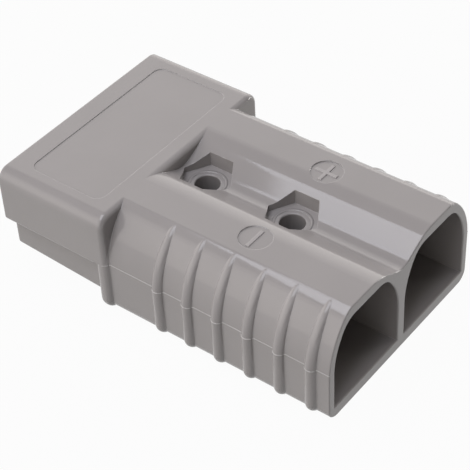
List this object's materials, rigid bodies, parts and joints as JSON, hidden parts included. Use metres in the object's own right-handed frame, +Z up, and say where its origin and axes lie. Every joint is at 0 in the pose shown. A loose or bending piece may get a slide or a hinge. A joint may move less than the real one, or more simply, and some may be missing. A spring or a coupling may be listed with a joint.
{
  "type": "genderless power connector",
  "caption": "High-current battery connector half with a hooded genderless mating end, sprung flat contacts, ribbed grip sides and cable ports under an arched body.",
  "frame": {"origin": "middle of the underside, halfway between the mating face and the cable end", "axes": "+X from the mating end to the cable end, +Y towards the positive pole, +Z up from the underside"},
  "size_m": [0.1092, 0.069, 0.0334],
  "materials": {
    "housing": "satin",
    "contact": "silver plated",
    "spring": "rolled"
  },
  "bodies": {
    "root": {"housing": "housing", "contact_positive": "contact", "contact_negative": "contact", "spring_positive": "spring", "spring_negative": "spring"}
  },
  "joints": []
}
